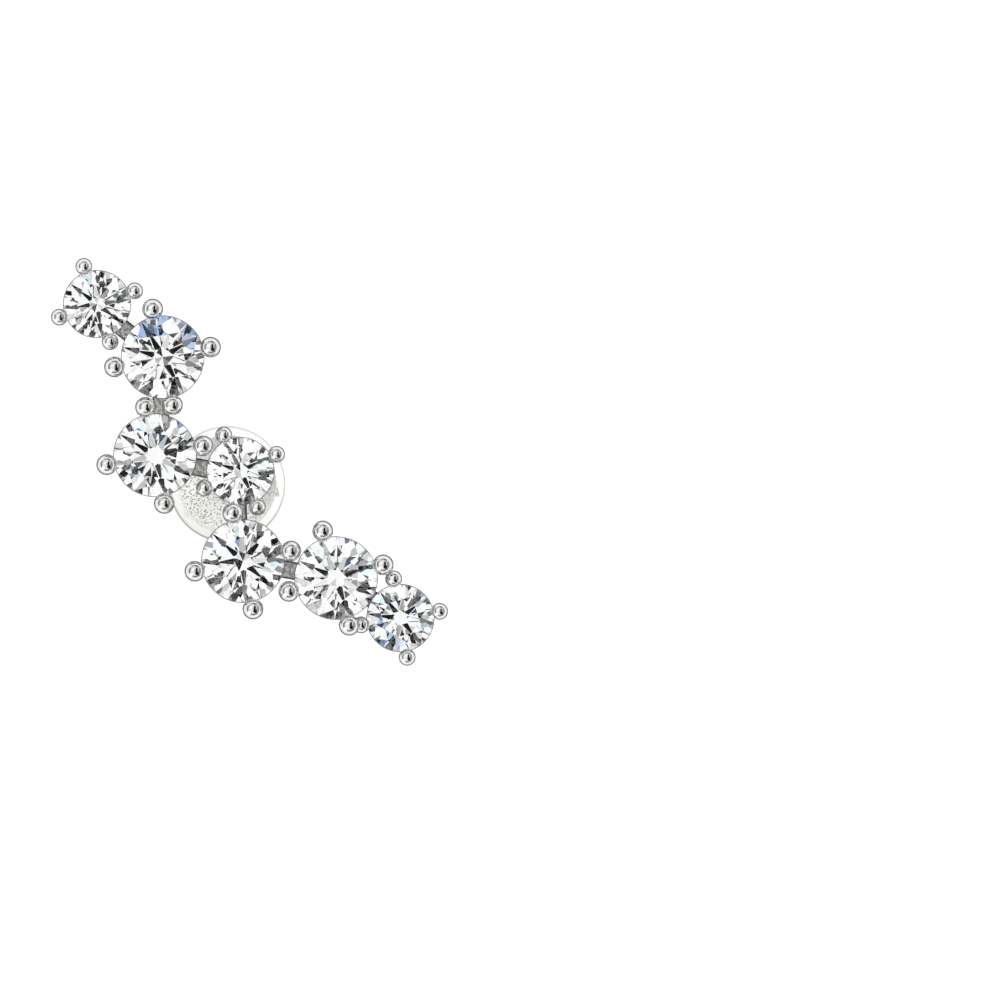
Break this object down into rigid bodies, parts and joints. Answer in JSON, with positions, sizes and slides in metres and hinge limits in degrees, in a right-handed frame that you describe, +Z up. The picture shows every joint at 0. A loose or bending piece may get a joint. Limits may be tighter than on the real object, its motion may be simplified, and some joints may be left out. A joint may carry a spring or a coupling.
{
  "type": "crystal ear climber earring",
  "caption": "Curved cluster stud earring for the left ear: round clear stones in ball-tipped claw baskets on flat link bars, with an ear post, a soft disc and a milled friction nut.",
  "frame": {"origin": "on the surface that the earring lies on, under the middle of its bounding box", "axes": "+Z up from that surface, +X along the row of baskets from the ear's top end to its bottom end, -Y the way the stones face, leaning back by about 10 degrees; the post points to +Y"},
  "size_m": [0.0256, 0.0148, 0.0088],
  "materials": {
    "white_metal": "polished",
    "nut_metal": "satin",
    "crystal": "polished",
    "frosted_plastic": "satin"
  },
  "bodies": {
    "earring": {"prong_frame": "white_metal", "stone_1": "crystal", "stone_2": "crystal", "stone_3": "crystal", "stone_4": "crystal", "stone_5": "crystal", "stone_6": "crystal", "stone_7": "crystal"},
    "clutch": {"ear_nut": "nut_metal", "clear_disc": "frosted_plastic"}
  },
  "joints": [
    {"name": "clutch_slide", "type": "slide", "parent": "earring", "child": "clutch", "axis": [0, 0.9849, -0.1734], "range_m": [-0.005, 0.004]}
  ]
}
